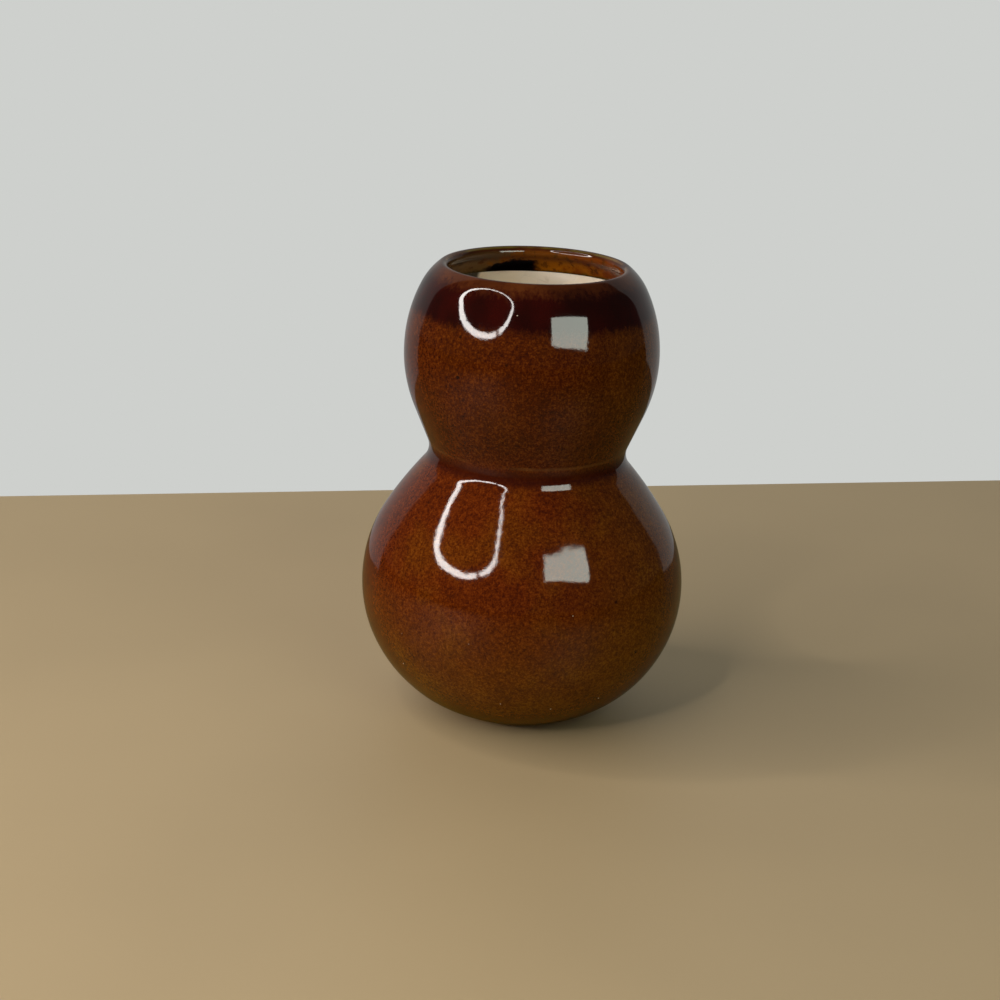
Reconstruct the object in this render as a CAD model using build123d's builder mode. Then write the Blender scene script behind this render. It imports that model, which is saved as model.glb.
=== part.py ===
"""Double-gourd studio vase: two thrown bulbs luted at the waist, lined, glazed and dipped at the rim.

Millimetres. The foot stands on z = 0 and the vase turns about the Z axis.
The outline is that of the bare clay. Every glaze coat is laid on it face to face.
"""

from build123d import *
import os
from math import acos, asin, atan2, cos, degrees, radians, sin, sqrt, tan

os.makedirs("parts", exist_ok=True)

# Lower bulb, bare clay
belly_radius = 50.05
belly_arc = 42.55
shoulder_start = 31.6
shoulder_arc = 125.0
foot_radius = 20.0
foot_width = 4.5
foot_height = 1.2
foot_round = 0.5
floor_thickness = 5.0
floor_round = 8.0

# Upper bulb, bare clay
crown_radius = 38.6
crown_arc = 44.43
crown_rise = 74.2
flank_lean = 22.8
roll_start = 26.5
roll_arc = 18.0
lip_rise = 26.25

# Wall, waist and luted seam
wall = 2.5
waist_fillet = 8.1
seam_rise = 4.0
seam_slope = 45.0
slip_thickness = 0.8

# Glaze coats
glaze_coat = 0.4
dip_coat = 0.25
dip_depth_outside = 11.2
dip_depth_inside = 8.85
bare_margin = 2.5
glaze_roll = 0.2
dip_roll = 0.1

# Belly circle, which meets the foot wall at the top of the foot
belly_x = belly_radius - belly_arc
foot_angle = -degrees(acos((foot_radius - belly_x) / belly_arc))
belly_z = foot_height - belly_arc * sin(radians(foot_angle))
floor_z = foot_height + floor_thickness
glaze_line = foot_radius + bare_margin

# Shoulder circle, which runs on from the belly circle and leans in to the waist
shoulder_x = belly_x - (shoulder_arc - belly_arc) * cos(radians(shoulder_start))
shoulder_z = belly_z - (shoulder_arc - belly_arc) * sin(radians(shoulder_start))

# Crown circle, the tighter roll of the rim that runs on from it, and the full-round lip
crown_x = crown_radius - crown_arc
crown_z = belly_z + crown_rise
roll_x = crown_x + (crown_arc - roll_arc) * cos(radians(roll_start))
roll_z = crown_z + (crown_arc - roll_arc) * sin(radians(roll_start))
lip_arc = roll_arc - wall / 2
lip_z = crown_z + lip_rise - wall / 2
lip_angle = degrees(asin((lip_z - roll_z) / lip_arc))
lip_x = roll_x + lip_arc * cos(radians(lip_angle))
top_z = lip_z + wall / 2 + glaze_coat + dip_coat


def on_arc(x, z, radius, angle):
    """Point at an angle above the horizontal on a circle in the half section."""
    return x + radius * cos(radians(angle)), z + radius * sin(radians(angle))


def waist_corner(inset):
    """Point where the shoulder arc meets the flank line, both laid inset inside the clay's face."""
    lean = radians(flank_lean)
    flank = crown_x * cos(lean) - crown_z * sin(lean) + crown_arc - inset
    gap = flank - shoulder_x * cos(lean) + shoulder_z * sin(lean)
    climb = sqrt((shoulder_arc - inset) ** 2 - gap**2)
    return shoulder_x + gap * cos(lean) + climb * sin(lean), shoulder_z - gap * sin(lean) + climb * cos(lean)


def gourd(inset):
    """Filled half section of the gourd outline, inset inside the clay's outer face."""
    low, slope, high, rim = (arc - inset for arc in (belly_arc, shoulder_arc, crown_arc, roll_arc))
    base = on_arc(belly_x, belly_z, low, foot_angle)
    corner = waist_corner(inset)
    shoulder_end = degrees(atan2(corner[1] - shoulder_z, corner[0] - shoulder_x))
    flank = on_arc(crown_x, crown_z, high, -flank_lean)
    lip = on_arc(roll_x, roll_z, rim, lip_angle)
    top = lip[1] - lip[0] * (lip[1] - roll_z) / (lip[0] - roll_x)
    with BuildSketch() as section:
        with BuildLine():
            Polyline((0, top), (0, base[1]), base)
            CenterArc((belly_x, belly_z), low, foot_angle, shoulder_start - foot_angle)
            CenterArc((shoulder_x, shoulder_z), slope, shoulder_start, shoulder_end - shoulder_start)
            Line(corner, flank)
            CenterArc((crown_x, crown_z), high, -flank_lean, flank_lean)
            CenterArc((crown_x, crown_z), high, 0, roll_start)
            CenterArc((roll_x, roll_z), rim, roll_start, lip_angle - roll_start)
            Line(lip, (0, top))
        make_face()
        fillet(section.vertices().sort_by_distance(corner)[0], waist_fillet + inset)
    return section.sketch


def block(x_low, z_low, x_high, z_high):
    """Rectangle in the half section, for bounding a coat or a wall."""
    with BuildSketch() as bound:
        with Locations(((x_low + x_high) / 2, (z_low + z_high) / 2)):
            Rectangle(x_high - x_low, z_high - z_low)
    return bound.sketch


# Hollow of the vase, flat on its floor
with BuildSketch() as cavity:
    add(gourd(wall))
    add(block(0, 0, belly_radius, floor_z), mode=Mode.SUBTRACT)
    fillet(cavity.vertices().group_by(Axis.Y)[0].sort_by(Axis.X)[-1], floor_round)

# Bare clay: wall, floor, foot ring and full-round lip
with BuildSketch() as clay:
    add(gourd(0))
    add(block(foot_radius - foot_width, 0, foot_radius, floor_z))
    fillet(clay.vertices().group_by(Axis.Y)[0], foot_round)
    add(cavity.sketch, mode=Mode.SUBTRACT)
    with Locations((lip_x, lip_z)):
        Circle(wall / 2)

# Clay with one coat of glaze on every face, then with the second dip
beyond_axis = block(-belly_radius, 0, 0, top_z)
with BuildSketch() as coated:
    add(clay.sketch)
    offset(amount=glaze_coat)
    add(beyond_axis, mode=Mode.SUBTRACT)
with BuildSketch() as dipped:
    add(clay.sketch)
    offset(amount=glaze_coat + dip_coat)
    add(beyond_axis, mode=Mode.SUBTRACT)

# Bevelled seam through the wall, falling towards the inside
corner_x, corner_z = waist_corner(0)
seam_x = corner_x + seam_rise * tan(radians(flank_lean))
seam_z = corner_z + seam_rise
bevel = tan(radians(seam_slope))
slip_lift = slip_thickness / cos(radians(seam_slope))


def above_seam(lift):
    """Half section over the bevelled seam raised by lift."""
    inner = (0, seam_z + lift - seam_x * bevel)
    outer = (belly_radius, seam_z + lift + (belly_radius - seam_x) * bevel)
    with BuildSketch() as region:
        with BuildLine():
            Polyline(inner, outer, (belly_radius, outer[1] + top_z), (0, outer[1] + top_z), close=True)
        make_face()
    return region.sketch


# Inner side of the wall's middle, over the lip's crest
with BuildSketch() as inside:
    add(gourd(wall / 2))
    add(block(0, crown_z, lip_x, top_z))

# Lower bulb, thrown with a flared collar and trimmed to a bare foot ring
with BuildPart() as lower_bulb:
    with BuildSketch(Plane.XZ):
        add(clay.sketch)
        add(above_seam(0), mode=Mode.SUBTRACT)
    revolve(axis=Axis.Z)
lower_bulb.part.label = "lower_bulb"
export_step(lower_bulb.part, "parts/lower_bulb.step")

# Upper bulb, seated in the collar's bevel and closed in to the lip
with BuildPart() as upper_bulb:
    with BuildSketch(Plane.XZ):
        add(clay.sketch)
        add(above_seam(slip_lift), mode=Mode.INTERSECT)
    revolve(axis=Axis.Z)
upper_bulb.part.label = "upper_bulb"
export_step(upper_bulb.part, "parts/upper_bulb.step")

# Fired slip that lutes the two bevelled edges
with BuildPart() as waist_slip:
    with BuildSketch(Plane.XZ):
        add(clay.sketch)
        add(above_seam(0), mode=Mode.INTERSECT)
        add(above_seam(slip_lift), mode=Mode.SUBTRACT)
    revolve(axis=Axis.Z)
waist_slip.part.label = "waist_slip"
export_step(waist_slip.part, "parts/waist_slip.step")

# Cream liner glaze over the whole hollow, up to the lip's crest
with BuildPart() as liner_glaze:
    with BuildSketch(Plane.XZ):
        add(coated.sketch)
        add(clay.sketch, mode=Mode.SUBTRACT)
        add(inside.sketch, mode=Mode.INTERSECT)
    revolve(axis=Axis.Z)
liner_glaze.part.label = "liner_glaze"
export_step(liner_glaze.part, "parts/liner_glaze.step")

# Amber glaze over the outside, from the lip's crest down to a line short of the foot
with BuildSketch() as outer_coat:
    add(coated.sketch)
    add(clay.sketch, mode=Mode.SUBTRACT)
    add(inside.sketch, mode=Mode.SUBTRACT)
    add(block(0, -foot_height, glaze_line, floor_z), mode=Mode.SUBTRACT)
    fillet(outer_coat.vertices().sort_by(Axis.Y)[0], glaze_roll)
with BuildPart() as outer_glaze:
    with BuildSketch(Plane.XZ):
        add(outer_coat.sketch)
    revolve(axis=Axis.Z)
outer_glaze.part.label = "outer_glaze"
export_step(outer_glaze.part, "parts/outer_glaze.step")

# Second dip: the rim held upside down in glaze, over the outer coat and the liner
with BuildSketch() as dip_outside:
    add(dipped.sketch)
    add(coated.sketch, mode=Mode.SUBTRACT)
    add(inside.sketch, mode=Mode.SUBTRACT)
    add(block(0, -foot_height, belly_radius + top_z, top_z - dip_depth_outside), mode=Mode.SUBTRACT)
    fillet(dip_outside.vertices().group_by(Axis.Y)[0].sort_by(Axis.X)[-1], dip_roll)
with BuildSketch() as dip_inside:
    add(dipped.sketch)
    add(coated.sketch, mode=Mode.SUBTRACT)
    add(inside.sketch, mode=Mode.INTERSECT)
    add(block(0, -foot_height, belly_radius + top_z, top_z - dip_depth_inside), mode=Mode.SUBTRACT)
    fillet(dip_inside.vertices().group_by(Axis.Y)[0].sort_by(Axis.X)[0], dip_roll)
with BuildPart() as rim_glaze:
    with BuildSketch(Plane.XZ):
        add(dip_outside.sketch)
        add(dip_inside.sketch)
    revolve(axis=Axis.Z)
rim_glaze.part.label = "rim_glaze"
export_step(rim_glaze.part, "parts/rim_glaze.step")
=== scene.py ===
"""Looks of the double-gourd vase: glaze coats turned on the clay's outline, fired clay, stage and lamps.

The outline repeats the CAD values in millimetres. Meshes are in metres, in the CAD frame.
"""

import logging
import math
from dataclasses import dataclass
from enum import Enum
from typing import Optional, Sequence, Union

import bpy
from mathutils import Matrix, Vector


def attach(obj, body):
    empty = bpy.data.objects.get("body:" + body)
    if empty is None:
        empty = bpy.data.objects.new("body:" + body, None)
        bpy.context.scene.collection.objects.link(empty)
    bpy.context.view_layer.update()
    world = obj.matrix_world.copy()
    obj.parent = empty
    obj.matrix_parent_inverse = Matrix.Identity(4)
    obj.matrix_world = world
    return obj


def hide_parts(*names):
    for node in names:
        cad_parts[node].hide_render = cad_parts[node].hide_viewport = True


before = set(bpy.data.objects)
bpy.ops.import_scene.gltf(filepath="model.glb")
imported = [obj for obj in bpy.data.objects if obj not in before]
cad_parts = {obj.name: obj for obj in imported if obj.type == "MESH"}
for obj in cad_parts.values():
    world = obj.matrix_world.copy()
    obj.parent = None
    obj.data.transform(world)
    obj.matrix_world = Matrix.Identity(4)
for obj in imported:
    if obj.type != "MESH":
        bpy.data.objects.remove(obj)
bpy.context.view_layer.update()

MM = 0.001
WELD = 0.004 * MM
SMOOTH_ANGLE = math.radians(50)
LOG = logging.getLogger("gourd_vase")

Point = tuple[float, float]
Place = tuple[float, float, float]
Colour = tuple[float, float, float]
Steps = tuple[int, int, int, int, int, int, int]
Socket = bpy.types.NodeSocket
Outputs = bpy.types.bpy_prop_collection
Value = Union[Socket, float, Place]
Inputs = dict[Union[int, str], Value]


class Body(Enum):
    """CAD bodies that a piece may ride on."""

    VASE = "root"


def srgb(red: int, green: int, blue: int) -> Colour:
    """Linear colour of a written screen colour.

    Args:
        red: Red from 0 to 255.
        green: Green from 0 to 255.
        blue: Blue from 0 to 255.

    Returns:
        The three linear values.
    """
    out = []
    for part in (red / 255, green / 255, blue / 255):
        out.append(part / 12.92 if part <= 0.04045 else ((part + 0.055) / 1.055) ** 2.4)
    return out[0], out[1], out[2]


@dataclass(frozen=True)
class GourdForm:
    """Half outline of the bare clay, in millimetres, with the wall's thickness and the glaze coats."""

    belly_radius: float = 50.05
    belly_arc: float = 42.55
    shoulder_start: float = 31.6
    shoulder_arc: float = 125.0
    foot_radius: float = 20.0
    foot_height: float = 1.2
    floor_thickness: float = 5.0
    floor_round: float = 8.0
    crown_radius: float = 38.6
    crown_arc: float = 44.43
    crown_rise: float = 74.2
    flank_lean: float = 22.8
    roll_start: float = 26.5
    roll_arc: float = 18.0
    lip_rise: float = 26.25
    wall: float = 2.5
    waist_fillet: float = 8.1
    glaze_coat: float = 0.4
    dip_coat: float = 0.25
    dip_depth_outside: float = 11.2
    dip_depth_inside: float = 8.85
    bare_margin: float = 2.5

    @property
    def belly(self) -> Point:
        """Belly circle, which meets the foot wall at the top of the foot.

        Returns:
            Its centre.
        """
        x = self.belly_radius - self.belly_arc
        drop = math.sqrt(self.belly_arc**2 - (self.foot_radius - x) ** 2)
        return x, self.foot_height + drop

    @property
    def crown(self) -> Point:
        """Centre of the crown circle."""
        return self.crown_radius - self.crown_arc, self.belly[1] + self.crown_rise

    @property
    def roll(self) -> Point:
        """Centre of the rim's tighter roll, which runs on from the crown circle."""
        return self.on_arc(self.crown, self.crown_arc - self.roll_arc, self.roll_start)

    @property
    def lip_angle(self) -> float:
        """Angle above the horizontal at which the roll runs into the lip, in degrees."""
        rise = self.crown[1] + self.lip_rise - self.wall / 2 - self.roll[1]
        return math.degrees(math.asin(rise / (self.roll_arc - self.wall / 2)))

    @property
    def lip(self) -> Point:
        """Centre of the full-round lip."""
        return self.on_arc(self.roll, self.roll_arc - self.wall / 2, self.lip_angle)

    @property
    def top(self) -> float:
        """Height of the dipped lip's crest."""
        return self.lip[1] + self.wall / 2 + self.glaze_coat + self.dip_coat

    @property
    def shoulder(self) -> Point:
        """Shoulder circle, which runs on from the belly circle.

        Returns:
            Its centre.
        """
        turn = math.radians(self.shoulder_start)
        back = self.shoulder_arc - self.belly_arc
        return self.belly[0] - back * math.cos(turn), self.belly[1] - back * math.sin(turn)

    @property
    def waist(self) -> Point:
        """Fillet between the bulbs.

        Returns:
            Its centre, the same for every offset of the outline.
        """
        lean = math.radians(self.flank_lean)
        flank = self.crown[0] * math.cos(lean) - self.crown[1] * math.sin(lean) + self.crown_arc + self.waist_fillet
        gap = flank - self.shoulder[0] * math.cos(lean) + self.shoulder[1] * math.sin(lean)
        climb = math.sqrt((self.shoulder_arc + self.waist_fillet) ** 2 - gap**2)
        x = self.shoulder[0] + gap * math.cos(lean) + climb * math.sin(lean)
        return x, self.shoulder[1] - gap * math.sin(lean) + climb * math.cos(lean)

    @property
    def shoulder_end(self) -> float:
        """Angle at which the shoulder circle runs into the waist's fillet, in degrees."""
        return math.degrees(math.atan2(self.waist[1] - self.shoulder[1], self.waist[0] - self.shoulder[0]))

    @staticmethod
    def on_arc(centre: Point, radius: float, angle: float) -> Point:
        """Point on a circle of the half section, at an angle above the horizontal in degrees."""
        turn = math.radians(angle)
        return centre[0] + radius * math.cos(turn), centre[1] + radius * math.sin(turn)

    def rim(self, inset: float, angle: float) -> Point:
        """Point on the crown or on the roll that ends it.

        Args:
            inset: Depth inside the clay's outer face.
            angle: Angle above the horizontal, in degrees.

        Returns:
            The point as radius and height.
        """
        if angle <= self.roll_start:
            return self.on_arc(self.crown, self.crown_arc - inset, angle)
        return self.on_arc(self.roll, self.roll_arc - inset, angle)

    def belly_angle(self, radius: float) -> float:
        """Angle on the underside of the belly at a radius from the axis, in degrees."""
        return -math.degrees(math.acos((radius - self.belly[0]) / self.belly_arc))

    def crown_angle(self, inset: float, height: float) -> float:
        """Angle on the crown at a height and a depth inside the clay's outer face, in degrees."""
        return math.degrees(math.asin((height - self.crown[1]) / (self.crown_arc - inset)))

    def floor_corner(self) -> tuple[Point, float]:
        """Round between the floor and the wall inside.

        Returns:
            The centre of the round, and the angle at which it meets the belly's inside.
        """
        z = self.foot_height + self.floor_thickness + self.floor_round
        reach = self.belly_arc - self.wall - self.floor_round
        drop = z - self.belly[1]
        run = math.sqrt(reach**2 - drop**2)
        return (self.belly[0] + run, z), math.degrees(math.atan2(drop, run))


FORM = GourdForm()


class SectionPen:
    """Draws a half section in edit mode with extrude and spin, then turns it about the vase's axis."""

    def __init__(self, name: str, start: Point) -> None:
        """Puts one vertex at the start of the section.

        Args:
            name: Name of the piece.
            start: Radius and height in millimetres.
        """
        bpy.ops.object.select_all(action="DESELECT")
        bpy.ops.mesh.primitive_plane_add(size=MM)
        self.piece: bpy.types.Object = bpy.context.object
        self.piece.name = name
        self.piece.data.name = name
        bpy.ops.object.mode_set(mode="EDIT")
        bpy.ops.mesh.select_all(action="SELECT")
        bpy.ops.mesh.merge(type="CENTER")
        bpy.ops.transform.translate(value=(start[0] * MM, 0, start[1] * MM))
        self.at: Point = start

    def line(self, end: Point, steps: int = 1) -> None:
        """Draws a straight run.

        Args:
            end: Radius and height of its end.
            steps: Number of edges.
        """
        move = ((end[0] - self.at[0]) / steps * MM, 0, (end[1] - self.at[1]) / steps * MM)
        for _ in range(steps):
            bpy.ops.mesh.extrude_vertices_move(TRANSFORM_OT_translate={"value": move})
        self.at = end

    def arc(self, centre: Point, turn: float, steps: int) -> None:
        """Draws an arc from where the pen stands.

        Args:
            centre: Centre of the arc.
            turn: Turn in degrees, positive from outwards to upwards.
            steps: Number of edges.
        """
        bpy.ops.mesh.spin(
            steps=steps,
            angle=math.radians(turn),
            center=(centre[0] * MM, 0, centre[1] * MM),
            axis=(0, 1, 0),
        )
        x, z = self.at[0] - centre[0], self.at[1] - centre[1]
        c, s = math.cos(math.radians(turn)), math.sin(math.radians(turn))
        self.at = centre[0] + x * c - z * s, centre[1] + x * s + z * c

    def rise(self, inset: float, start: float, steps: Steps) -> None:
        """Draws the outline upwards, from the belly to the end of the rim's roll.

        Args:
            inset: Depth inside the clay's outer face.
            start: Angle of the start on the belly circle.
            steps: Edges of the belly, shoulder, waist, flank, crown, roll and lip.
        """
        belly, shoulder, waist, flank, crown, roll, _ = steps
        self.arc(FORM.belly, FORM.shoulder_start - start, belly)
        self.arc(FORM.shoulder, FORM.shoulder_end - FORM.shoulder_start, shoulder)
        self.arc(FORM.waist, -FORM.shoulder_end - FORM.flank_lean, waist)
        self.line(FORM.on_arc(FORM.crown, FORM.crown_arc - inset, -FORM.flank_lean), flank)
        self.arc(FORM.crown, FORM.flank_lean + FORM.roll_start, crown)
        self.arc(FORM.roll, FORM.lip_angle - FORM.roll_start, roll)

    def fall(self, inset: float, end: float, steps: Steps) -> None:
        """Draws the outline downwards, from the end of the rim's roll to the belly.

        Args:
            inset: Depth inside the clay's outer face.
            end: Angle of the end on the belly circle.
            steps: Edges of the belly, shoulder, waist, flank, crown, roll and lip.
        """
        belly, shoulder, waist, flank, crown, roll, _ = steps
        self.arc(FORM.roll, FORM.roll_start - FORM.lip_angle, roll)
        self.arc(FORM.crown, -FORM.flank_lean - FORM.roll_start, crown)
        self.line(FORM.on_arc(FORM.waist, FORM.waist_fillet + inset, 180 - FORM.flank_lean), flank)
        self.arc(FORM.waist, FORM.shoulder_end + FORM.flank_lean, waist)
        self.arc(FORM.shoulder, FORM.shoulder_start - FORM.shoulder_end, shoulder)
        self.arc(FORM.belly, end - FORM.shoulder_start, belly)

    def turn(self, steps: int) -> bpy.types.Object:
        """Turns the section into a closed round piece.

        Args:
            steps: Number of steps in the full turn.

        Returns:
            The piece, in object mode and smooth.
        """
        bpy.ops.mesh.select_all(action="SELECT")
        bpy.ops.mesh.remove_doubles(threshold=WELD)
        bpy.ops.mesh.select_all(action="SELECT")
        bpy.ops.mesh.spin(steps=steps, angle=2 * math.pi, center=(0, 0, 0), axis=(0, 0, 1))
        bpy.ops.mesh.select_all(action="SELECT")
        bpy.ops.mesh.remove_doubles(threshold=WELD)
        bpy.ops.mesh.normals_make_consistent(inside=False)
        bpy.ops.object.mode_set(mode="OBJECT")
        bpy.ops.object.shade_smooth_by_angle(angle=SMOOTH_ANGLE)
        return self.piece


class Wires:
    """Adds the nodes of one tree and links them."""

    def __init__(self, tree: bpy.types.NodeTree) -> None:
        """Keeps the tree."""
        self.tree = tree

    def own(self, kind: str) -> bpy.types.Node:
        """Node of a kind that the tree had from the start."""
        return next(node for node in self.tree.nodes if node.type == kind)

    def feed(self, socket: Socket, value: Value) -> None:
        """Links a socket or sets it.

        Args:
            socket: The input.
            value: An output to link, or a number, scale or colour to set.
        """
        if isinstance(value, bpy.types.NodeSocket):
            self.tree.links.new(value, socket)
        elif socket.type == "RGBA":
            socket.default_value = (*value, 1)
        else:
            socket.default_value = value

    def add(self, kind: str, inputs: Optional[Inputs] = None, **settings: str) -> Outputs:
        """Adds a node.

        Args:
            kind: Kind of node, without the prefix that all kinds share.
            inputs: Values of its inputs, by name or number.
            **settings: Its settings.

        Returns:
            Its outputs.
        """
        node = self.tree.nodes.new("ShaderNode" + kind)
        for key, setting in settings.items():
            setattr(node, key, setting)
        for key, value in (inputs or {}).items():
            self.feed(node.inputs[key], value)
        return node.outputs

    def show(self, output: str, shader: Socket) -> None:
        """Leads a shader to the tree's output."""
        self.feed(self.own(output).inputs["Surface"], shader)

    def split(self, vector: Socket) -> tuple[Socket, ...]:
        """Parts x, y and z of a vector."""
        return tuple(self.add("SeparateXYZ", {0: vector}))

    def math(self, operation: str, a: Value, b: Value = 0.0) -> Socket:
        """Result of one operation on two values."""
        return self.add("Math", {0: a, 1: b}, operation=operation)[0]

    def plus(self, a: Value, b: Value) -> Socket:
        """Two values added."""
        return self.math("ADD", a, b)

    def minus(self, a: Value, b: Value) -> Socket:
        """Second value taken from the first."""
        return self.math("SUBTRACT", a, b)

    def times(self, a: Value, b: Value) -> Socket:
        """Two values multiplied."""
        return self.math("MULTIPLY", a, b)

    def distance(self, a: Value, b: Value) -> Socket:
        """Distance from zero of a place with two parts."""
        return self.math("SQRT", self.plus(self.math("POWER", a, 2), self.math("POWER", b, 2)))

    def band(self, value: Value, low: float, high: float, at_low: float = 0.0, at_high: float = 1.0) -> Socket:
        """Soft step from one result to another, between a low and a high value."""
        inputs = {"Value": value, "From Min": low, "From Max": high, "To Min": at_low, "To Max": at_high}
        return self.add("MapRange", inputs, interpolation_type="SMOOTHSTEP")[0]


class Bench(Wires):
    """Lays out the nodes of one finish, around a glossy surface shader."""

    def __init__(self, name: str) -> None:
        """Starts a material.

        Args:
            name: Name of the material.
        """
        self.material = bpy.data.materials.new(name)
        self.material.use_nodes = True
        super().__init__(self.material.node_tree)
        self.surface = self.own("BSDF_PRINCIPLED")
        self.place: Socket = self.add("TexCoord")["Object"]
        self.x, self.y, self.z = self.split(self.place)

    def stretch(self, x: float, y: float, z: float) -> Socket:
        """Object coordinates, scaled along each axis."""
        return self.add("Mapping", {"Vector": self.place, "Scale": (x, y, z)})[0]

    def noise(self, size: float, detail: float = 2.0, rough: float = 0.5, at: Optional[Socket] = None) -> Socket:
        """Cloudy pattern around a half, with blots of a size in millimetres, at the object's own place or another."""
        inputs = {"Vector": at or self.place, "Scale": 1 / (size * MM), "Detail": detail, "Roughness": rough}
        return self.add("TexNoise", inputs)[0]

    def cells(self, size: float) -> tuple[Socket, Socket]:
        """Distance from scattered points, as a share of their spacing, and a chance value for each point."""
        out = self.add("TexVoronoi", {"Vector": self.place, "Scale": 1 / (size * MM)})
        return out["Distance"], self.split(out["Color"])[0]

    def cracks(self, size: float) -> Socket:
        """Distance from a network of fine lines, as a share of their spacing."""
        inputs = {"Vector": self.place, "Scale": 1 / (size * MM)}
        return self.add("TexVoronoi", inputs, feature="DISTANCE_TO_EDGE")["Distance"]

    def ramp(self, value: Value, stops: Sequence[tuple[float, Colour]]) -> Socket:
        """Colour along a value.

        Args:
            value: Value from 0 to 1.
            stops: Places and colours.

        Returns:
            The colour.
        """
        node = self.tree.nodes.new("ShaderNodeValToRGB")
        self.feed(node.inputs[0], value)
        steps = node.color_ramp.elements
        while len(steps) < len(stops):
            steps.new(0.5)
        for step, (place, colour) in zip(steps, stops):
            step.position = place
            step.color = (*colour, 1)
        return node.outputs[0]

    def mix(self, share: Value, first: Value, second: Value) -> Socket:
        """Two colours mixed, by the share of the second."""
        return self.add("Mix", {0: share, 6: first, 7: second}, data_type="RGBA")[2]

    def bump(self, height: Socket, depth: float, strength: Value = 1.0) -> None:
        """Relief on the surface, with the height of the whole pattern in millimetres."""
        relief = self.add("Bump", {"Height": height, "Distance": depth * MM, "Strength": strength})
        self.feed(self.surface.inputs["Normal"], relief[0])

    def paint(self, colour: Socket, roughness: Value) -> None:
        """Gives the surface its colour and its roughness."""
        self.feed(self.surface.inputs["Base Color"], colour)
        self.feed(self.surface.inputs["Roughness"], roughness)

    def one_sided(self, front: Socket) -> None:
        """Shows a shader on a sheet's front and makes its back see-through."""
        sides = {0: self.add("NewGeometry")["Backfacing"], 1: front, 2: self.add("BsdfTransparent")[0]}
        self.show("OUTPUT_MATERIAL", self.add("MixShader", sides)[0])

    def glow(self, colour: Colour, strength: Value) -> bpy.types.Material:
        """Material that gives light on its front only."""
        self.one_sided(self.add("Emission", {"Color": colour, "Strength": strength})[0])
        return self.material


@dataclass(frozen=True)
class Grain:
    """Tones of one granular glaze, from the gaps between its grains to the grains themselves."""

    dark: Colour
    middle: Colour
    light: Colour

    def colour(self, bench: Bench, tone: Socket) -> Socket:
        """Colour of the grain along its granular value."""
        return bench.ramp(tone, ((0.385, self.dark), (0.5, self.middle), (0.615, self.light)))


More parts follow.
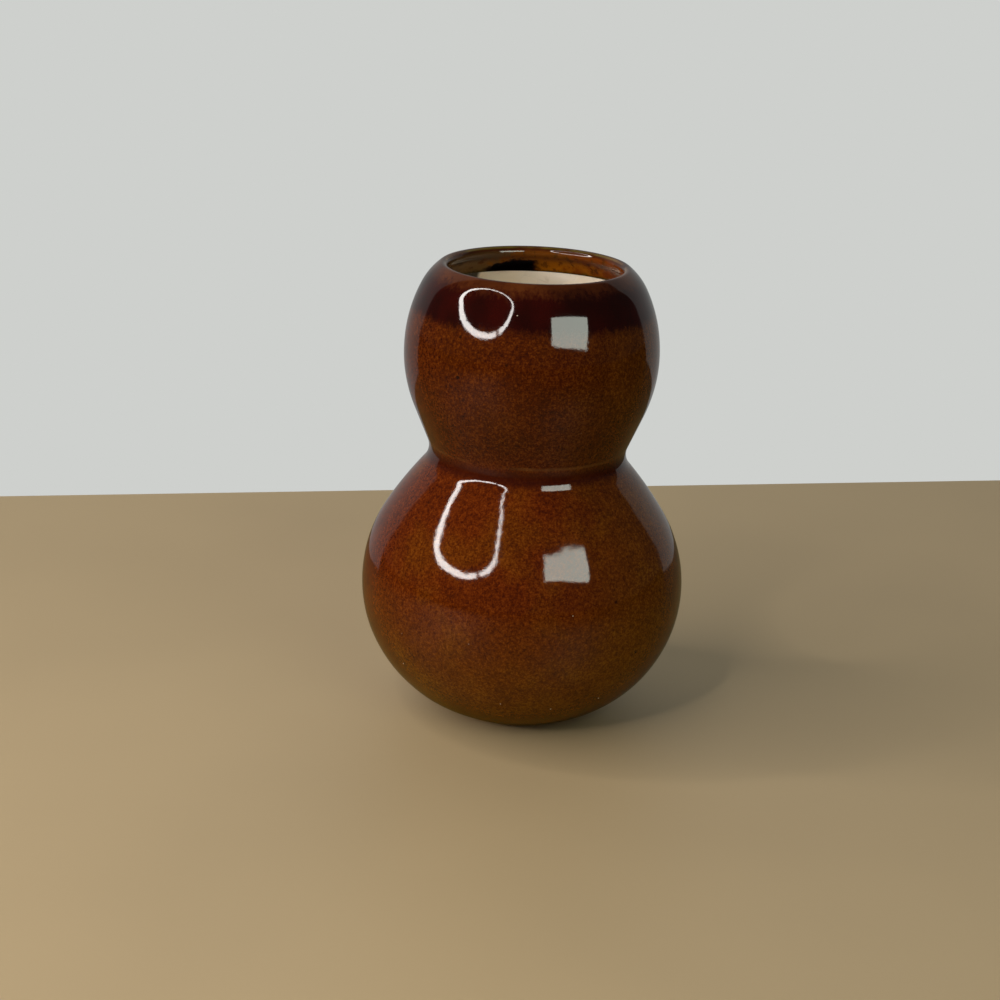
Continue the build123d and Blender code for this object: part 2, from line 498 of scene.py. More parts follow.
@dataclass(frozen=True)
class IronGlaze:
    """Pattern of the outside: granular amber and umber, olive at the foot, a maroon dip and a breaking lip."""

    belly: Grain = Grain(srgb(53, 15, 3), srgb(79, 28, 3), srgb(104, 44, 8))
    crown: Grain = Grain(srgb(44, 13, 3), srgb(67, 24, 3), srgb(92, 42, 8))
    # Olive grain of the foot, also laid on the right side as a painted greenish tint of the light from that side.
    foot: Grain = Grain(srgb(68, 34, 2), srgb(95, 52, 4), srgb(120, 74, 12))
    # Painted shade: darker colour in the groove under the waist ridge.
    shaded_crease: Colour = srgb(48, 12, 4)
    dipped: Colour = srgb(44, 6, 3)
    dipped_deep: Colour = srgb(28, 5, 3)
    breaking: Colour = srgb(84, 42, 15)
    pit: Colour = srgb(24, 8, 2)
    # Painted highlight: small pale specks that stand in for glints of light on the glaze.
    painted_glint: Colour = srgb(226, 208, 184)
    # Painted highlight: a pale line along the waist ridge.
    painted_ridge_highlight: Colour = srgb(112, 72, 34)
    # Size, detail, roughness and share of each layer of the grain
    layers: tuple[tuple[float, float, float, float], ...] = (
        (1.05, 3.0, 0.65, 0.46),
        (0.5, 2.0, 0.6, 0.4),
        (9.0, 4.0, 0.6, 0.14),
    )
    crown_blend: Point = (80.0, 94.0)
    olive_rise: Point = (6.0, 58.0)
    olive_fade: Point = (70.0, 100.0)
    # Painted light: the right side is tinted olive, standing in for greener light falling from that side.
    painted_green_light_side: Point = (6.0, 40.0)
    pit_spacing: float = 7.0
    painted_glint_spacing: float = 5.0
    seam_height: float = 87.9
    painted_ridge_highlight_width: Point = (0.2, 0.75)
    crease_drop: float = 3.4
    crease_width: Point = (0.8, 3.4)
    lip_drop: Point = (4.6, 0.3)
    relief: float = 0.03
    dip_height: float = FORM.top - FORM.dip_depth_outside - 2.0
    dip_softness: float = 1.7
    dip_sway: float = 4.0

    def tone(self, bench: Bench) -> Socket:
        """Granular value, around a half.

        Args:
            bench: Nodes of the finish.

        Returns:
            The value.
        """
        tone: Value = 0.0
        for size, detail, rough, share in self.layers:
            tone = bench.plus(tone, bench.times(bench.noise(size, detail, rough), share))
        return tone

    def dip(self, bench: Bench, height: Socket) -> Socket:
        """Share of the second dip, with a soft lower edge.

        Args:
            bench: Nodes of the finish.
            height: Height above the table in millimetres.

        Returns:
            Nothing below the edge, one above it.
        """
        runs = bench.noise(1.6, 2.0, 0.6, bench.stretch(1, 1, 0.2))
        wander = bench.noise(16.0, 1.0)
        moved = bench.plus(runs, bench.times(wander, 0.8))
        moved = bench.times(bench.minus(moved, 0.9), self.dip_sway)
        low, high = self.dip_height - self.dip_softness, self.dip_height + self.dip_softness
        return bench.band(bench.plus(height, moved), low, high)

    def colour(self, bench: Bench, tone: Socket) -> tuple[Socket, Socket]:
        """Colour of the outside.

        Args:
            bench: Nodes of the finish.
            tone: Granular value.

        Returns:
            The colour, and the share of the second dip.
        """
        height = bench.times(bench.z, 1 / MM)
        cloud = bench.noise(17.0, 3.0)
        belly, crown = self.belly.colour(bench, tone), self.crown.colour(bench, tone)
        colour = bench.mix(bench.band(height, *self.crown_blend), belly, crown)
        olive = bench.plus(bench.band(height, *self.olive_rise, 0.85, 0.0), bench.band(cloud, 0.46, 0.68, 0.0, 0.3))
        olive = bench.times(olive, bench.band(height, *self.olive_fade, 1.0, 0.3))
        # Painted light: olive tint on the right side, for the greener light from that side.
        olive = bench.plus(olive, bench.band(bench.times(bench.x, 1 / MM), *self.painted_green_light_side, 0.0, 0.6))
        colour = bench.mix(olive, colour, self.foot.colour(bench, tone))
        near, chance = bench.cells(self.pit_spacing)
        pits = bench.times(bench.band(near, 0.05, 0.1, 0.75, 0.0), bench.band(chance, 0.7, 0.72))
        colour = bench.mix(pits, colour, self.pit)
        # Painted shade in the groove a little below the waist seam.
        shaded_crease = bench.math("ABSOLUTE", bench.minus(height, self.seam_height - self.crease_drop))
        colour = bench.mix(bench.band(shaded_crease, *self.crease_width, 0.8, 0.0), colour, self.shaded_crease)
        # Painted highlight along the ridge at the waist seam, patchy by a cloud pattern.
        line = bench.math("ABSOLUTE", bench.minus(height, self.seam_height))
        line = bench.times(bench.band(line, *self.painted_ridge_highlight_width, 0.4, 0.0), bench.band(cloud, 0.4, 0.62))
        colour = bench.mix(line, colour, self.painted_ridge_highlight)
        dip = self.dip(bench, height)
        colour = bench.mix(dip, colour, bench.mix(bench.band(cloud, 0.35, 0.65), self.dipped, self.dipped_deep))
        runs = bench.minus(bench.noise(1.1, 2.0, 0.6, bench.stretch(1, 1, 0.12)), 0.5)
        crest = bench.plus(height, bench.times(runs, 7.0))
        low, high = (FORM.top - drop for drop in self.lip_drop)
        lip = bench.times(bench.band(crest, low, high), bench.band(cloud, 0.3, 0.62, 0.9, 0.25))
        colour = bench.mix(lip, colour, self.breaking)
        # Painted highlights: sparse pale specks where the glaze would glint.
        near, chance = bench.cells(self.painted_glint_spacing)
        painted_glints = bench.times(bench.band(near, 0.03, 0.055, 0.9, 0.0), bench.band(chance, 0.8, 0.82))
        return bench.mix(painted_glints, colour, self.painted_glint), dip

    def coat(self, bench: Bench, colour: Socket, tone: Socket, dip: Socket, gloss: float, roughness: float) -> None:
        """Gives the surface its colour, its gloss and a fine relief, flatter under the second dip.

        Args:
            bench: Nodes of the finish.
            colour: Colour of the whole pattern.
            tone: Granular value.
            dip: Share of the second dip.
            gloss: Strength of the shine.
            roughness: Roughness of the grains, a little more between them.
        """
        bench.paint(colour, bench.band(tone, 0.35, 0.65, roughness + 0.02, roughness))
        bench.feed(bench.surface.inputs["Specular IOR Level"], gloss)
        relief = bench.plus(bench.times(tone, 0.5), bench.times(bench.noise(5.0, 1.0), 1.6))
        bench.bump(relief, self.relief, bench.band(dip, 0.0, 1.0, 1.0, 0.4))


@dataclass(frozen=True)
class AmberGlaze:
    """Glossy granular amber glaze of the outside, maroon under the second dip."""

    name: str = "amber_glaze_granular"
    iron: IronGlaze = IronGlaze()
    gloss: float = 0.3
    roughness: float = 0.04

    def material(self) -> bpy.types.Material:
        """Builds the material.

        Returns:
            The material.
        """
        bench = Bench(self.name)
        tone = self.iron.tone(bench)
        colour, dip = self.iron.colour(bench, tone)
        self.iron.coat(bench, colour, tone, dip, self.gloss, self.roughness)
        return bench.material


@dataclass(frozen=True)
class DipGlaze:
    """Second dip at the rim: maroon over the amber coat outside, thin and golden over the liner inside, painted
    lighter lower down inside to offset the shade in the hollow.
    """

    name: str = "dip_glaze_breaking"
    iron: IronGlaze = IronGlaze()
    golden: Colour = srgb(98, 52, 9)
    umber: Colour = srgb(76, 50, 22)
    russet: Colour = srgb(96, 42, 8)
    # Painted light: lighter colours lower on the inside, to make up for the shade that falls there.
    golden_painted_lighter: Colour = srgb(138, 78, 10)
    umber_painted_lighter: Colour = srgb(114, 82, 44)
    russet_painted_lighter: Colour = srgb(104, 45, 7)
    streak: Colour = srgb(58, 34, 8)
    line: Colour = srgb(52, 46, 12)
    near_black_patch: Colour = srgb(6, 3, 4)
    # Painted highlight: a pale line along the lip's inner edge, dimmer and olive towards the back.
    edge: Colour = srgb(150, 116, 82)
    painted_highlight_far: Colour = srgb(98, 86, 22)
    painted_lighter_drop: Point = (5.6, 3.2)
    umber_side: Point = (-16.0, -4.0)
    russet_side: Point = (8.0, 22.0)
    line_rise: Point = (0.2, 1.4)
    near_black_patch_drop: Point = (5.0, 3.8)
    near_black_patch_centre: float = -7.2
    near_black_patch_width: Point = (6.0, 9.4)
    # Side from which the near-black patch's upper edge falls, and its slope there
    near_black_patch_sag: Point = (-8.5, 0.45)
    gloss: float = 0.3
    roughness: float = 0.035

    def lining(self, bench: Bench, height: Socket) -> Socket:
        """Colour of the dip over the liner.

        Args:
            bench: Nodes of the finish.
            height: Height above the table in millimetres.

        Returns:
            The colour.
        """
        x, y = bench.times(bench.x, 1 / MM), bench.times(bench.y, 1 / MM)
        cloud = bench.noise(5.0, 4.0, 0.6)
        runs = bench.minus(bench.noise(2.2, 3.0, 0.65, bench.stretch(1, 1, 0.3)), 0.5)
        side = bench.plus(x, bench.times(bench.minus(cloud, 0.5), 40.0))
        side = bench.plus(side, bench.times(runs, 24.0))
        # Painted light: the dip is lighter lower down inside, where less light reaches.
        low, high = (FORM.top - drop for drop in self.painted_lighter_drop)
        deep = bench.band(height, low, high, 1.0, 0.0)
        left = bench.mix(deep, self.umber, self.umber_painted_lighter)
        middle = bench.mix(deep, self.golden, self.golden_painted_lighter)
        right = bench.mix(deep, self.russet, self.russet_painted_lighter)
        colour = bench.mix(bench.band(side, *self.umber_side), left, middle)
        colour = bench.mix(bench.band(side, *self.russet_side), colour, right)
        colour = bench.mix(bench.band(runs, 0.03, 0.13, 0.0, 0.65), colour, self.streak)
        line = bench.plus(height, bench.times(runs, 3.0))
        low, high = (FORM.top - FORM.dip_depth_inside + rise for rise in self.line_rise)
        colour = bench.mix(bench.band(line, low, high, 0.85, 0.0), colour, self.line)
        # A near-black patch on the inner back wall, a little left of the middle, with a ragged edge.
        ragged = bench.times(bench.minus(cloud, 0.5), 7.0)
        sag_side, sag_slope = self.near_black_patch_sag
        sag = bench.math("MAXIMUM", bench.minus(sag_side, x), 0.0)
        rise = bench.plus(bench.plus(height, ragged), bench.times(sag, sag_slope))
        low, high = (FORM.top - drop for drop in self.near_black_patch_drop)
        pool = bench.band(rise, low, high, 1.0, 0.0)
        reach = bench.plus(bench.math("ABSOLUTE", bench.minus(x, self.near_black_patch_centre)), ragged)
        pool = bench.times(pool, bench.band(reach, *self.near_black_patch_width, 1.0, 0.0))
        pool = bench.times(pool, bench.band(y, 4.0, 16.0))
        return bench.mix(pool, colour, self.near_black_patch)

    def material(self) -> bpy.types.Material:
        """Builds the material.

        Returns:
            The material.
        """
        bench = Bench(self.name)
        tone = self.iron.tone(bench)
        colour, dip = self.iron.colour(bench, tone)
        height = bench.times(bench.z, 1 / MM)
        across = bench.times(bench.distance(bench.x, bench.y), 1 / MM)
        angle = bench.math("ARCTAN2", bench.minus(height, FORM.lip[1]), bench.minus(across, FORM.lip[0]))
        out = bench.distance(bench.minus(across, FORM.roll[0]), bench.minus(height, FORM.roll[1]))
        middle = FORM.roll_arc - FORM.wall / 2
        inside = bench.band(out, middle - 1.0, middle + 0.2, 1.0, 0.0)
        colour = bench.mix(inside, colour, self.lining(bench, height))
        # Painted highlight along the lip's inner edge.
        edge = bench.band(bench.math("ABSOLUTE", bench.minus(angle, 2.1)), 0.1, 0.35, 0.55, 0.0)
        edge = bench.times(edge, bench.band(bench.noise(7.0, 2.0), 0.35, 0.6))
        rear = bench.band(bench.y, 4.0 * MM, 20.0 * MM)
        colour = bench.mix(edge, colour, bench.mix(rear, self.edge, self.painted_highlight_far))
        self.iron.coat(bench, colour, tone, dip, self.gloss, self.roughness)
        return bench.material


@dataclass(frozen=True)
class CreamGlaze:
    """Cream liner glaze of the hollow, finely crazed, with a painted rim shadow at the upper left of the back."""

    name: str = "cream_glaze_crazed"
    cream: Colour = srgb(252, 240, 224)
    warm: Colour = srgb(244, 228, 204)
    craze: Colour = srgb(150, 118, 76)
    # Painted shadow: dark olive on the left of the upper back liner, where the rim shades it.
    run: Colour = srgb(46, 38, 14)
    painted_shadow_side: Point = (-17.6, -16.0)
    painted_shadow_back: Point = (0.0, 8.0)
    painted_shadow_height: Point = (123.0, 126.0)
    roughness: float = 0.22

    def material(self) -> bpy.types.Material:
        """Builds the material.

        Returns:
            The material.
        """
        bench = Bench(self.name)
        cloud = bench.noise(12.0, 3.0)
        colour = bench.mix(bench.band(cloud, 0.35, 0.68), self.cream, self.warm)
        lines = bench.band(bench.cracks(6.0), 0.01, 0.03, 0.2, 0.0)
        lines = bench.times(lines, bench.band(bench.noise(9.0, 2.0), 0.48, 0.62))
        colour = bench.mix(lines, colour, self.craze)
        x, y, height = (bench.times(part, 1 / MM) for part in (bench.x, bench.y, bench.z))
        # Painted shadow on the left of the upper back liner, cast by the rim.
        side = bench.plus(x, bench.times(bench.minus(cloud, 0.5), 5.0))
        run = bench.times(bench.band(side, *self.painted_shadow_side, 1.0, 0.0), bench.band(y, *self.painted_shadow_back))
        run = bench.times(run, bench.band(height, *self.painted_shadow_height))
        colour = bench.mix(run, colour, self.run)
        bench.paint(colour, bench.band(cloud, 0.3, 0.7, self.roughness, self.roughness + 0.1))
        bench.bump(bench.noise(4.0, 2.0), 0.04)
        return bench.material


@dataclass(frozen=True)
class FiredClay:
    """Bare stoneware of the foot and the walls: fine grog, turning rings and a toasted edge."""

    name: str
    pale: Colour = srgb(196, 164, 122)
    toasted: Colour = srgb(158, 112, 72)
    grog: Colour = srgb(106, 76, 50)
    ring_pitch: float = 1.3
    roughness: float = 0.8

    def material(self) -> bpy.types.Material:
        """Builds the material.

        Returns:
            The material.
        """
        bench = Bench(self.name)
        flat = bench.distance(bench.x, bench.y)
        turned = bench.math("SINE", bench.times(flat, 2 * math.pi / (self.ring_pitch * MM)))
        cloud = bench.noise(8.0, 3.0)
        grain = bench.noise(0.6, 2.0, 0.6)
        colour = bench.mix(bench.band(cloud, 0.35, 0.65), self.pale, self.toasted)
        near, chance = bench.cells(1.6)
        specks = bench.times(bench.band(near, 0.12, 0.25, 0.7, 0.0), bench.band(chance, 0.72, 0.75))
        colour = bench.mix(specks, colour, self.grog)
        bench.paint(colour, bench.band(grain, 0.3, 0.7, self.roughness - 0.1, self.roughness + 0.1))
        bench.bump(bench.plus(grain, bench.times(turned, 0.25)), 0.12)
        return bench.material


@dataclass
class OuterCoat:
    """Amber glaze coat of the outside, from the lip's crest to a rolled line short of the foot."""

    name: str = "outer_glaze_coat"
    turns: int = 288
    swell_size: float = 17.0
    swell_height: float = 0.16
    swell_fade: float = 16.0
    edge_steps: int = 6
    shown_steps: Steps = (64, 18, 20, 6, 36, 12, 9)
    hidden_steps: Steps = (22, 6, 7, 3, 12, 4, 3)
    finish: AmberGlaze = AmberGlaze()

    def build(self) -> bpy.types.Object:
        """Models the coat.

        Returns:
            The piece.
        """
        edge = FORM.belly_angle(FORM.foot_radius + FORM.bare_margin)
        pen = SectionPen(self.name, FORM.on_arc(FORM.belly, FORM.belly_arc, edge))
        pen.arc(FORM.on_arc(FORM.belly, FORM.belly_arc + FORM.glaze_coat / 2, edge), 180, self.edge_steps)
        pen.rise(-FORM.glaze_coat, edge, self.shown_steps)
        pen.arc(FORM.lip, 90 - FORM.lip_angle, self.shown_steps[-1])
        pen.line((FORM.lip[0], FORM.lip[1] + FORM.wall / 2))
        pen.arc(FORM.lip, FORM.lip_angle - 90, self.hidden_steps[-1])
        pen.fall(0, edge, self.hidden_steps)
        piece = pen.turn(self.turns)
        self.swell(piece)
        return piece

    def swell(self, piece: bpy.types.Object) -> None:
        """Gives the shown face the slight unevenness of a thrown wall, fading out below the second dip.

        Args:
            piece: The coat.
        """
        face = piece.vertex_groups.new(name="shown_face")
        line = FORM.top - FORM.dip_depth_outside
        for corner in piece.data.vertices:
            share = min(1.0, (line - corner.co.z / MM) / self.swell_fade)
            if share > 0 and corner.normal.x * corner.co.x + corner.normal.y * corner.co.y > 0:
                face.add([corner.index], share, "REPLACE")
        texture = bpy.data.textures.new("throwing_swell", "CLOUDS")
        texture.noise_scale = self.swell_size * MM
        texture.noise_depth = 1
        displace = piece.modifiers.new("throwing_swell", "DISPLACE")
        displace.texture = texture
        displace.texture_coords = "LOCAL"
        displace.strength = self.swell_height * MM
        displace.mid_level = 0.5
        displace.vertex_group = "shown_face"
        bpy.context.view_layer.objects.active = piece
        bpy.ops.object.modifier_apply(modifier=displace.name)

    def dress(self, piece: bpy.types.Object) -> None:
        """Gives the coat its finish and its place in the frame.

        Args:
            piece: The coat.
        """
        piece.data.materials.append(self.finish.material())
        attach(piece, Body.VASE.value)
        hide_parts("outer_glaze")


@dataclass
class RimDip:
    """Second dip over the lip, feathered out on the outside and pooled to a rounded line inside."""

    name: str = "rim_dip_coat"
    turns: int = 288
    steps: int = 22
    lip_steps: int = 10
    edge_film: float = 0.01
    lip_film: float = 0.11
    pool: float = 0.9
    finish: DipGlaze = DipGlaze()
    lining: DipGlaze = DipGlaze("dip_glaze_lining", gloss=0.02)
    lining_depth: float = 3.2

    def outside(self, pen: SectionPen, low: float) -> None:
        """Draws the shown face upwards, from a thin lower edge to the lip's crest.

        Args:
            pen: Pen that stands on the outer coat.
            low: Angle of the lower edge on the crown circle.
        """
        for step in range(self.steps + 1):
            share = step / self.steps
            film = self.edge_film + (self.lip_film - self.edge_film) * share**2
            pen.line(FORM.rim(-FORM.glaze_coat - film, low + share * (FORM.lip_angle - low)))
        base = FORM.wall / 2 + FORM.glaze_coat
        for step in range(1, self.lip_steps + 1):
            share = step / self.lip_steps
            film = self.lip_film + (FORM.dip_coat - self.lip_film) * share**2 * (3 - 2 * share)
            pen.line(FORM.on_arc(FORM.lip, base + film, FORM.lip_angle + share * (90 - FORM.lip_angle)))

    def build(self) -> bpy.types.Object:
        """Models the coat.

        Returns:
            The piece.
        """
        under, over = FORM.glaze_coat, FORM.glaze_coat + FORM.dip_coat
        low = FORM.crown_angle(-under, FORM.top - FORM.dip_depth_outside)
        deep = FORM.crown_angle(FORM.wall + over, FORM.top - FORM.dip_depth_inside)
        pen = SectionPen(self.name, FORM.on_arc(FORM.crown, FORM.crown_arc + under, low))
        self.outside(pen, low)
        pen.arc(FORM.lip, 90 + FORM.lip_angle, 16)
        pen.arc(FORM.roll, FORM.roll_start - FORM.lip_angle, 10)
        pen.arc(FORM.crown, deep + self.pool - FORM.roll_start, 2)
        pen.line(FORM.on_arc(FORM.crown, FORM.crown_arc - FORM.wall - under, deep), 2)
        pen.arc(FORM.crown, FORM.roll_start - deep, 2)
        pen.arc(FORM.roll, FORM.lip_angle - FORM.roll_start, 6)
        pen.arc(FORM.lip, -180, 14)
        pen.arc(FORM.roll, FORM.roll_start - FORM.lip_angle, 6)
        pen.arc(FORM.crown, low - FORM.roll_start, 3)
        return pen.turn(self.turns)

    def dress(self, piece: bpy.types.Object) -> None:
        """Gives the coat its finish and its place in the frame.

        Args:
            piece: The coat.
        """
        piece.data.materials.append(self.finish.material())
        piece.data.materials.append(self.lining.material())
        for face in piece.data.polygons:
            inward = face.center.x * face.normal.x + face.center.y * face.normal.y < 0
            face.material_index = int(inward and face.center.z < (FORM.top - self.lining_depth) * MM)
        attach(piece, Body.VASE.value)
        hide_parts("rim_glaze")


@dataclass
class Liner:
    """Cream liner coat of the whole hollow, from the lip's crest over the floor."""

    name: str = "liner_coat"
    turns: int = 192
    shown_steps: Steps = (36, 8, 14, 4, 26, 8, 8)
    hidden_steps: Steps = (18, 4, 8, 2, 12, 4, 6)
    finish: CreamGlaze = CreamGlaze()

    def build(self) -> bpy.types.Object:
        """Models the coat.

        Returns:
            The piece.
        """
        corner, meet = FORM.floor_corner()
        floor = FORM.foot_height + FORM.floor_thickness
        pen = SectionPen(self.name, (0, floor + FORM.glaze_coat))
        pen.line((corner[0], floor + FORM.glaze_coat), 12)
        pen.arc(corner, meet + 90, 8)
        pen.rise(FORM.wall + FORM.glaze_coat, meet, self.shown_steps)
        pen.arc(FORM.lip, -90 - FORM.lip_angle, self.shown_steps[-1])
        pen.line((FORM.lip[0], FORM.lip[1] + FORM.wall / 2))
        pen.arc(FORM.lip, 90 + FORM.lip_angle, self.hidden_steps[-1])
        pen.fall(FORM.wall, meet, self.hidden_steps)
        pen.arc(corner, -90 - meet, 4)
        pen.line((0, floor), 6)
        return pen.turn(self.turns)

    def dress(self, piece: bpy.types.Object) -> None:
        """Gives the coat its finish and its place in the frame.

        Args:
            piece: The coat.
        """
        piece.data.materials.append(self.finish.material())
        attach(piece, Body.VASE.value)
        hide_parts("liner_glaze")


@dataclass
class ClayBody:
    """Thrown bulbs and the slip between them, which keep their CAD shapes."""

    clay: FiredClay = FiredClay("buff_clay_turned")
    slip: FiredClay = FiredClay(
        "fired_slip_smooth", pale=srgb(206, 180, 142), toasted=srgb(176, 140, 100), ring_pitch=2.1
    )

    def dress(self) -> None:
        """Gives the clay nodes their finishes."""
        clay, slip = self.clay.material(), self.slip.material()
        for node, finish in (("lower_bulb", clay), ("upper_bulb", clay), ("waist_slip", slip)):
            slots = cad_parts[node].material_slots
            for place in slots:
                place.material = finish
            if not slots:
                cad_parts[node].data.materials.append(finish)


@dataclass
class Stage:
    """Pale table, pale wall, ring lamp, panel lamp and camera, placed as the photograph's reflections show."""

    table_size: float = 4.0
    table_colour: Colour = srgb(170, 148, 112)
    table_shade: float = 0.94
    table_cloud: float = 140.0
    table_roughness: float = 0.55
    table_mirrored: Colour = srgb(106, 88, 27)
    table_mirrored_far: Colour = srgb(59, 48, 14)
    table_mirror_fade: Point = (0.05, 0.5)
    table_pale: Point = (0.33, 0.8)
    wall_colour: Colour = srgb(206, 208, 205)
    wall_back: float = 0.2213
    wall_yaw: float = 10.27
    wall_left: float = -0.33
    wall_right: float = 0.64
    wall_top: float = 0.60
    wall_mirrored: float = 0.5
    ring_at: Place = (-0.4347, -0.3784, 0.6017)
    ring_across: Place = (-0.1067, 0.9939, 0.029)
    ring_up: Place = (0.4792, 0.0258, 0.8773)
    ring_size: Point = (0.4019, 0.3094)
    ring_width: float = 0.131
    ring_steps: int = 120
    ring_glow: float = 29.5
    ring_colour: Colour = (1.0, 0.96, 0.92)
    ring_gap: float = -146.0
    ring_gap_half: float = 3.0
    ring_thick: float = -128.0
    ring_shift: float = 0.08
    ring_drop: float = 0.012
    panel_at: Place = (0.1988, -0.3039, 0.2715)
    panel_right: Place = (0.7674, 0.6071, -0.2062)
    panel_up: Place = (-0.078, 0.4077, 0.9098)
    panel_size: Point = (0.2246, 0.1516)
    panel_glow: float = 11.5
    panel_colour: Colour = (0.93, 1.0, 0.88)
    fill_at: Place = (0.34, -0.70, 0.50)
    fill_size: Point = (0.5, 0.4)
    fill_glow: float = 2.25
    fill_colour: Colour = (0.88, 1.0, 0.8)
    fill_aim: Place = (0.0, 0.0, 0.09)
    room_light: float = 0.10
    room_mirrored: float = 0.04
    room_behind: Point = (0.45, 0.9)
    lens: float = 72.0
    sensor: float = 36.0
    eye: Place = (-0.00786, -0.5935, 0.26514)
    eye_pitch: float = 71.61
    eye_roll: float = 2.3

    def flat(self, name: str, width: float, depth: float, spot: Vector, turn: Matrix) -> bpy.types.Object:
        """Adds a plain sheet with its place in its mesh.

        Args:
            name: Name of the sheet.
            width: Width in metres.
            depth: Depth in metres.
            spot: Centre.
            turn: Turn from lying face up.

        Returns:
            The sheet.
        """
        bpy.ops.object.select_all(action="DESELECT")
        bpy.ops.mesh.primitive_plane_add(size=1)
        sheet = bpy.context.object
        sheet.name = name
        sheet.scale = (width, depth, 1)
        bpy.ops.object.transform_apply(location=False, rotation=False, scale=True)
        sheet.matrix_world = Matrix.Translation(spot) @ turn
        bpy.ops.object.transform_apply(location=True, rotation=True, scale=True)
        return sheet

    @staticmethod
    def axes(across: Vector, up: Vector, spot: Vector) -> Matrix:
        """Place of a lamp from its own X and Y directions and its centre."""
        turn = Matrix((across, up, across.cross(up))).transposed()
        return Matrix.Translation(spot) @ turn.to_4x4()

    def table(self) -> None:
        """Lays the pale table, which stays pale beyond the lamps' reach and is see-through from below."""
        sheet = self.flat("table", self.table_size, self.table_size, Vector((0, 0, 0)), Matrix.Identity(4))
        bench = Bench("pale_table")
        cloud = bench.noise(self.table_cloud, 2.0)
        darker = tuple(self.table_shade * part for part in self.table_colour)
        colour = bench.mix(bench.band(cloud, 0.3, 0.7), self.table_colour, darker)
        path = bench.add("LightPath")
        flat = bench.distance(bench.x, bench.y)
        fade = bench.band(flat, *self.table_mirror_fade)
        mirrored = bench.mix(fade, self.table_mirrored, self.table_mirrored_far)
        bench.paint(bench.mix(path["Is Glossy Ray"], colour, mirrored), self.table_roughness)
        beyond = bench.add("Emission", {"Color": self.table_colour})
        share = bench.times(path["Is Camera Ray"], bench.band(flat, *self.table_pale))
        front = bench.add("MixShader", {0: share, 1: bench.surface.outputs[0], 2: beyond[0]})
        bench.one_sided(front[0])
        sheet.data.materials.append(bench.material)

    def wall(self) -> None:
        """Stands the pale wall behind the table, evenly lit."""
        width = self.wall_right - self.wall_left
        turn = Matrix.Rotation(math.radians(self.wall_yaw), 4, "Z")
        along = turn @ Vector(((self.wall_right + self.wall_left) / 2, 0, self.wall_top / 2))
        upright = turn @ Matrix.Rotation(math.radians(90), 4, "X")
        sheet = self.flat("wall", width, self.wall_top, along + Vector((0, self.wall_back, 0)), upright)
        sheet.visible_shadow = False
        bench = Bench("pale_wall")
        glossy = bench.add("LightPath")["Is Glossy Ray"]
        dim = bench.add("MapRange", {"Value": glossy, "To Min": 1.0, "To Max": self.wall_mirrored})
        sheet.data.materials.append(bench.glow(self.wall_colour, dim[0]))

    def ring(self) -> None:
        """Hangs the ring lamp at the left, with the small gap of its fitting."""
        bpy.ops.object.select_all(action="DESELECT")
        inner, outer = 1 - self.ring_width / 2, 1 + self.ring_width / 2
        bpy.ops.mesh.primitive_circle_add(vertices=self.ring_steps, radius=inner, fill_type="NOTHING")
        lamp = bpy.context.object
        lamp.name = "ring_lamp"
        bpy.ops.object.mode_set(mode="EDIT")
        bpy.ops.mesh.select_all(action="SELECT")
        bpy.ops.mesh.extrude_edges_move()
        bpy.ops.transform.resize(value=(outer / inner, outer / inner, 1), center_override=(0, 0, 0))
        turn = math.radians(self.ring_thick)
        thick = Vector((math.cos(turn), math.sin(turn), 0))
        bpy.ops.transform.translate(value=thick * self.ring_shift)
        bpy.ops.mesh.select_all(action="SELECT")
        bpy.ops.transform.translate(value=thick * (self.ring_drop - self.ring_shift / 2))
        bpy.ops.mesh.select_all(action="SELECT")
        bpy.ops.mesh.normals_make_consistent(inside=False)
        bpy.ops.mesh.select_mode(type="FACE")
        bpy.ops.mesh.select_all(action="DESELECT")
        bpy.ops.object.mode_set(mode="OBJECT")
        for face in lamp.data.polygons:
            angle = math.degrees(math.atan2(face.center.y, face.center.x))
            face.select = abs((angle - self.ring_gap + 180) % 360 - 180) < self.ring_gap_half
        bpy.ops.object.mode_set(mode="EDIT")
        bpy.ops.mesh.delete(type="FACE")
        bpy.ops.mesh.select_all(action="SELECT")
        bpy.ops.object.mode_set(mode="OBJECT")
        if lamp.data.polygons[0].normal.z < 0:
            lamp.data.flip_normals()
        place = self.axes(Vector(self.ring_across), Vector(self.ring_up), Vector(self.ring_at))
        lamp.matrix_world = place @ Matrix.Diagonal((*self.ring_size, 1, 1))
        bpy.ops.object.transform_apply(location=True, rotation=True, scale=True)
        lamp.visible_camera = False
        lamp.visible_shadow = False
        lamp.data.materials.append(Bench("ring_lamp_glow").glow(self.ring_colour, self.ring_glow))

    @staticmethod
    def lamp(name: str, size: Point, glow: float, colour: Colour, place: Matrix) -> bpy.types.Object:
        """Hangs a flat lamp.

        Args:
            name: Name of the lamp.
            size: Width and height in metres.
            glow: Brightness of its face.
            colour: Colour of the light.
            place: Its place, facing along its own -Z.

        Returns:
            The lamp.
        """
        light = bpy.data.lights.new(name, "AREA")
        light.shape = "RECTANGLE"
        light.size, light.size_y = size
        light.energy = glow * math.pi * light.size * light.size_y
        light.color = colour
        lamp = bpy.data.objects.new(name, light)
        lamp.matrix_world = place
        bpy.context.scene.collection.objects.link(lamp)
        return lamp

    def panel(self) -> None:
        """Hangs the panel lamp at the right, which shows in the gloss alone."""
        place = self.axes(Vector(self.panel_right), Vector(self.panel_up), Vector(self.panel_at))
        lamp = self.lamp("panel_lamp", self.panel_size, self.panel_glow, self.panel_colour, place)
        lamp.visible_diffuse = False

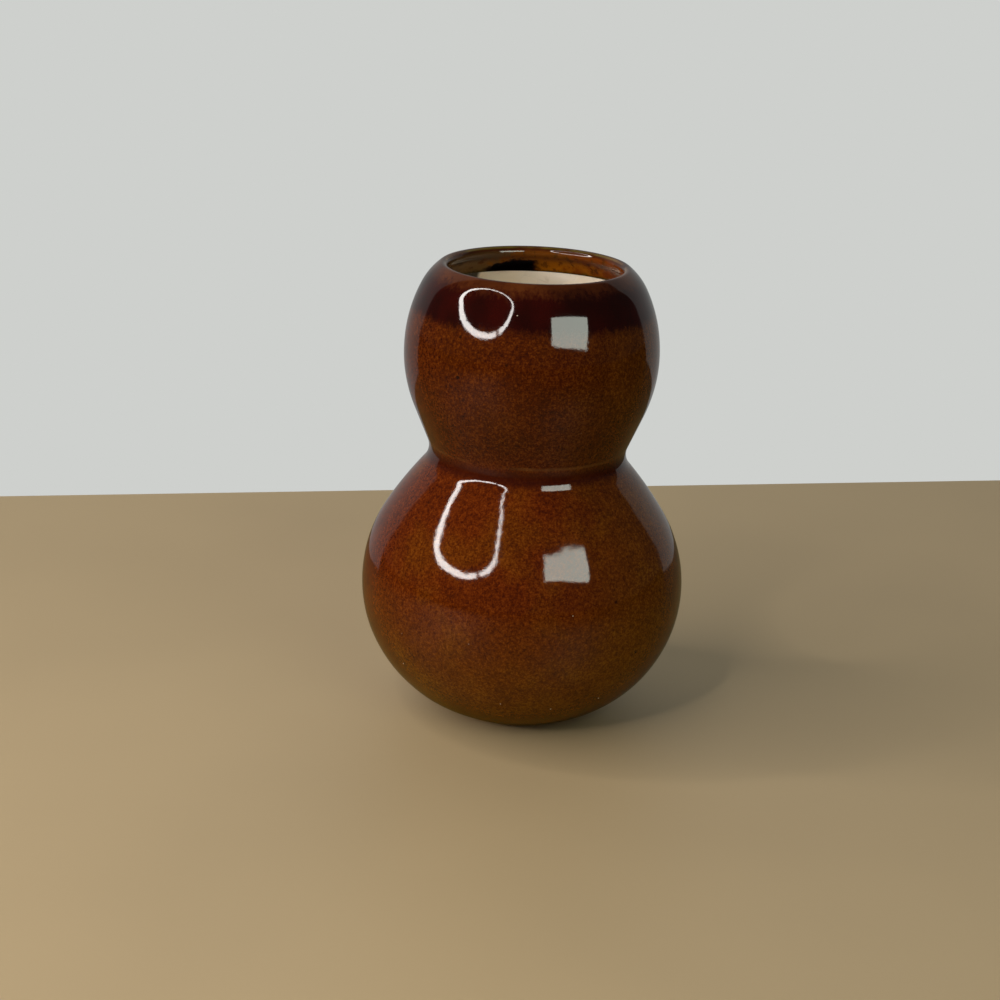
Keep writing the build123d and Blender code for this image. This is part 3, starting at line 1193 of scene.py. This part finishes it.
    def fill(self) -> None:
        """Hangs a soft fill lamp in front at the right, kept out of the gloss."""
        aim = Vector(self.fill_aim) - Vector(self.fill_at)
        place = Matrix.Translation(self.fill_at) @ aim.to_track_quat("-Z", "Y").to_matrix().to_4x4()
        lamp = self.lamp("fill_lamp", self.fill_size, self.fill_glow, self.fill_colour, place)
        lamp.visible_glossy = False

    def room(self) -> None:
        """Dim room light, seen as pale as the wall by the camera and, behind the vase, in its gloss."""
        world = bpy.data.worlds.new("room")
        bpy.context.scene.world = world
        world.use_nodes = True
        wires = Wires(world.node_tree)
        path = wires.add("LightPath")
        way = wires.split(wires.add("TexCoord")["Generated"])
        low, high = self.room_behind
        limits = {"Value": way[1], "From Min": low, "From Max": high, "To Max": self.wall_mirrored}
        behind = wires.add("MapRange", limits)[0]
        mirrored = wires.math("MAXIMUM", path["Is Glossy Ray"], path["Is Transmission Ray"])
        share = wires.math("MAXIMUM", wires.times(mirrored, behind), path["Is Camera Ray"])
        levels = {"Value": path["Is Glossy Ray"], "To Min": self.room_light, "To Max": self.room_mirrored}
        light = wires.own("BACKGROUND")
        wires.feed(light.inputs["Color"], (1, 1, 1))
        wires.feed(light.inputs["Strength"], wires.add("MapRange", levels)[0])
        seen = wires.add("Background", {"Color": self.wall_colour})
        wires.show("OUTPUT_WORLD", wires.add("MixShader", {0: share, 1: light.outputs[0], 2: seen[0]})[0])

    def camera(self) -> None:
        """Sets the camera as the photograph was taken."""
        lens = bpy.data.cameras.new("photo_camera")
        lens.lens = self.lens
        lens.sensor_width = self.sensor
        lens.clip_start = 0.01
        eye = bpy.data.objects.new("photo_camera", lens)
        turn = Matrix.Rotation(math.radians(self.eye_pitch), 4, "X")
        turn = turn @ Matrix.Rotation(math.radians(self.eye_roll), 4, "Z")
        eye.matrix_world = Matrix.Translation(self.eye) @ turn
        bpy.context.scene.collection.objects.link(eye)
        bpy.context.scene.camera = eye

    def build(self) -> None:
        """Sets up the whole stage."""
        self.table()
        self.wall()
        self.ring()
        self.panel()
        self.fill()
        self.room()
        self.camera()
        bpy.context.scene.view_settings.view_transform = "Standard"


def main() -> None:
    """Builds and dresses the vase, then the stage."""
    logging.basicConfig(level=logging.INFO, format="%(name)s: %(message)s")
    for part in (OuterCoat(), RimDip(), Liner()):
        piece = part.build()
        part.dress(piece)
        LOG.info("%s: %d faces", piece.name, len(piece.data.polygons))
    ClayBody().dress()
    LOG.info("lower_bulb, upper_bulb and waist_slip keep their CAD shapes")
    Stage().build()
    LOG.info("stage, lamps and camera set")


if __name__ == "__main__":
    main()
